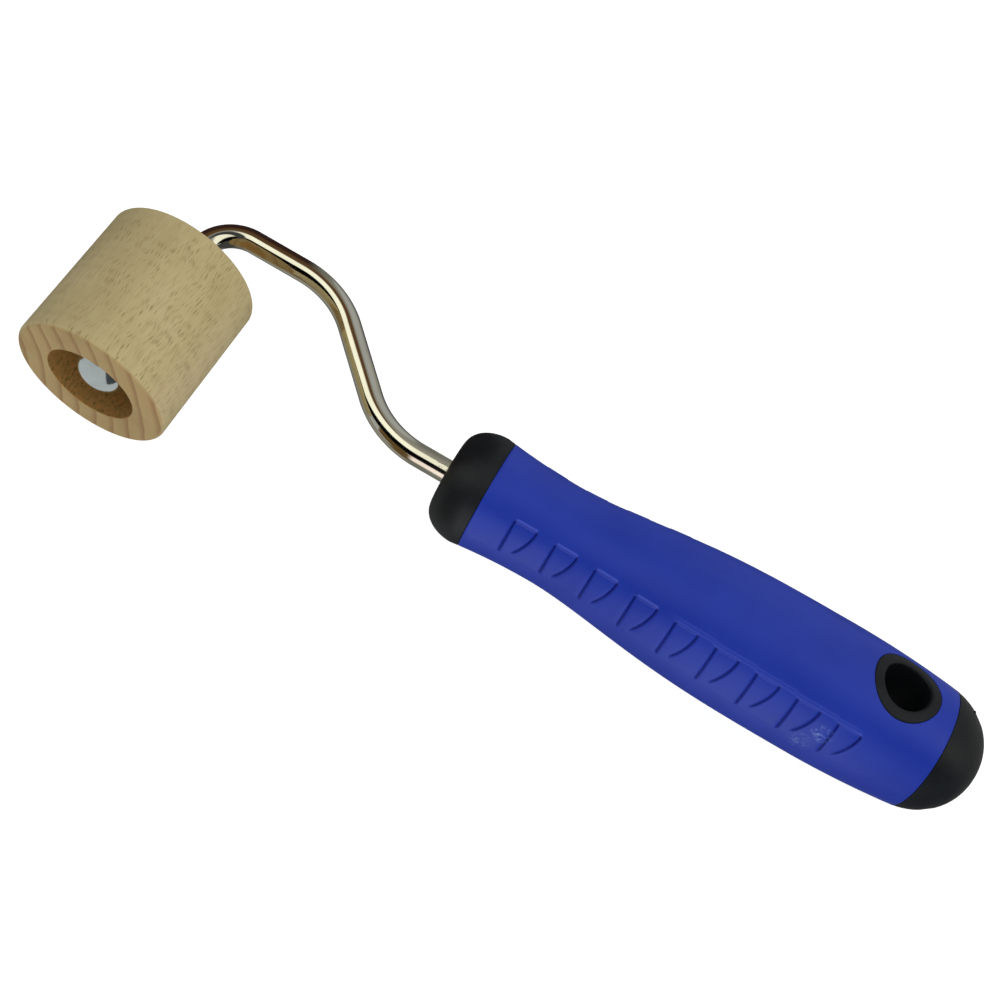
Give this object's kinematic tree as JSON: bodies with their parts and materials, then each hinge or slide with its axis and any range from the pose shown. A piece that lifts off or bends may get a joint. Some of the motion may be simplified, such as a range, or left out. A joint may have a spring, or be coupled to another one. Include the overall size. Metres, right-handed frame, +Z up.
{
  "type": "seam roller",
  "caption": "Hand seam roller: a recessed wooden roller on a cranked plated steel rod, with a waisted round handle that has a hanging hole near its tail.",
  "frame": {"origin": "under the middle of the tool's bounding box, on the surface that it lies on", "axes": "+X along the handle from the roller towards the tail, +Y along the axle from the roller's free end towards the crank, +Z up out of the plane of the bent rod"},
  "size_m": [0.2456, 0.0596, 0.04],
  "materials": {
    "beech": "turned beech, bare and unvarnished, with short dark flecks along the axle and darker growth lines on the ends",
    "nylon": "natural nylon, satin",
    "zinc_steel": "zinc plated steel, satin",
    "bright_steel": "bright plated pressed steel",
    "nickel_plate": "bright nickel plate with a warm cast, polished, slightly pitted",
    "black_core": "moulded black polypropylene, semi-matt, fine sparked texture",
    "blue_sleeve": "blue thermoplastic rubber, satin, with shallow moulded grip lines"
  },
  "bodies": {
    "handle": {"frame_rod": "nickel_plate", "stop_washer": "zinc_steel", "thrust_washer": "zinc_steel", "push_nut": "zinc_steel", "dome_cap": "bright_steel", "handle_core": "black_core", "grip_sleeve": "blue_sleeve"},
    "roller": {"roller": "beech", "front_bush": "nylon", "rear_bush": "nylon"}
  },
  "joints": [
    {"name": "roller_spin", "type": "hinge", "parent": "handle", "child": "roller", "pos_m": [-0.1028, -0.00975, 0.02], "axis": [0, 1, 0], "continuous": true}
  ]
}
